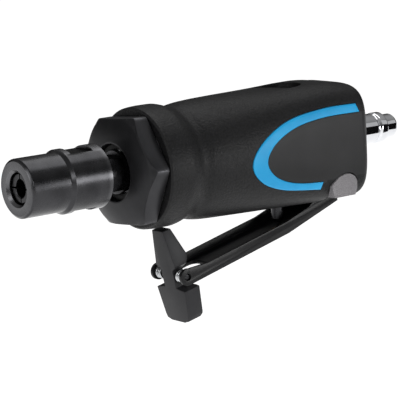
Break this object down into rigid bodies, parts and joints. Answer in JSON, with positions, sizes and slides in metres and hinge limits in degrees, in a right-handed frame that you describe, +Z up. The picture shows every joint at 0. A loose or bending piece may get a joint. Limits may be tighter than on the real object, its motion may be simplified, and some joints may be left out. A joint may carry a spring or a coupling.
{
  "type": "air die grinder",
  "caption": "Pneumatic die grinder with a collet nose, hex clamp cap, composite grip, squeeze lever with lock-off catch and rear air plug.",
  "frame": {"origin": "on the ground plane under the middle of the tool's box, at the lowest point of the hanging catch", "axes": "+X along the motor axis from the collet nose to the air plug, +Y across to the operator's right, +Z up, away from the lever"},
  "size_m": [0.168, 0.0426, 0.0776],
  "materials": {
    "black_oxide": "black oxide, semi-gloss",
    "anodised": "dark grey satin anodised",
    "composite": "fine leathery grain",
    "stripe_blue": "satin",
    "cast_grey": "blasted casting",
    "black_steel": "satin black",
    "satin_grey": "satin dark grey",
    "chrome": "polished chrome",
    "steel": "ground",
    "brass": "machined",
    "rubber": "matte",
    "phenolic": "laminate",
    "felt": "felt"
  },
  "bodies": {
    "housing": {"spindle_seal": "rubber", "front_bearing_outer_ring": "steel", "front_cap": "anodised", "front_end_plate": "steel", "motor_cylinder": "steel", "motor_dowel": "steel", "rear_end_plate": "steel", "rear_bearing_outer_ring": "steel", "motor_housing": "cast_grey", "grip_cover": "composite", "stripe_left": "stripe_blue", "stripe_right": "stripe_blue", "valve_bushing": "brass", "valve_oring": "rubber", "valve_spring": "steel", "inlet_bushing": "steel", "inlet_screen": "brass", "exhaust_silencer": "felt", "air_plug": "chrome", "lever_pin": "steel"},
    "spindle_group": {"collet_nut": "black_oxide", "collet": "black_oxide", "spindle": "black_oxide", "front_bearing_inner_ring": "steel", "rotor": "steel", "vane_1": "phenolic", "vane_2": "phenolic", "vane_3": "phenolic", "vane_4": "phenolic", "vane_5": "phenolic", "rear_bearing_inner_ring": "steel"},
    "front_cage": {"front_bearing_balls": "brass"},
    "rear_cage": {"rear_bearing_balls": "brass"},
    "valve": {"valve_stem": "black_oxide"},
    "squeeze_lever": {"lever": "black_steel", "catch_pin": "black_oxide", "catch_spring_left": "steel", "catch_spring_right": "steel"},
    "lock_catch": {"safety_catch": "satin_grey"}
  },
  "joints": [
    {"name": "spindle_spin", "type": "hinge", "parent": "housing", "child": "spindle_group", "pos_m": [-0.034, 0, 0.05628], "axis": [1, 0, 0], "continuous": true},
    {"name": "front_cage_spin", "type": "hinge", "parent": "housing", "child": "front_cage", "pos_m": [-0.0375, 0, 0.05628], "axis": [1, 0, 0], "continuous": true},
    {"name": "rear_cage_spin", "type": "hinge", "parent": "housing", "child": "rear_cage", "pos_m": [0.016, 0, 0.05628], "axis": [1, 0, 0], "continuous": true},
    {"name": "lever_press", "type": "hinge", "parent": "housing", "child": "squeeze_lever", "pos_m": [0.0446, 0, 0.03738], "axis": [0, 1, 0], "range_deg": [0, 9.5], "stiffness_Nm_per_rad": 1.5, "springref_deg": -20.05},
    {"name": "valve_slide", "type": "slide", "parent": "housing", "child": "valve", "axis": [0, 0, 1], "range_m": [0, 0.0034], "deforming": ["valve_spring"]},
    {"name": "catch_swing", "type": "hinge", "parent": "squeeze_lever", "child": "lock_catch", "pos_m": [-0.0223, 0, 0.01728], "axis": [0, 1, 0], "range_deg": [0, 86.2]}
  ],
  "couplings": [
    {"joint": "front_cage_spin", "follows": "spindle_spin", "ratio": 0.4167},
    {"joint": "rear_cage_spin", "follows": "spindle_spin", "ratio": 0.3889},
    {"joint": "valve_slide", "follows": "lever_press", "m_per_rad": 0.0201},
    {"joint": "catch_swing", "follows": "lever_press", "ratio": 9.0526}
  ]
}
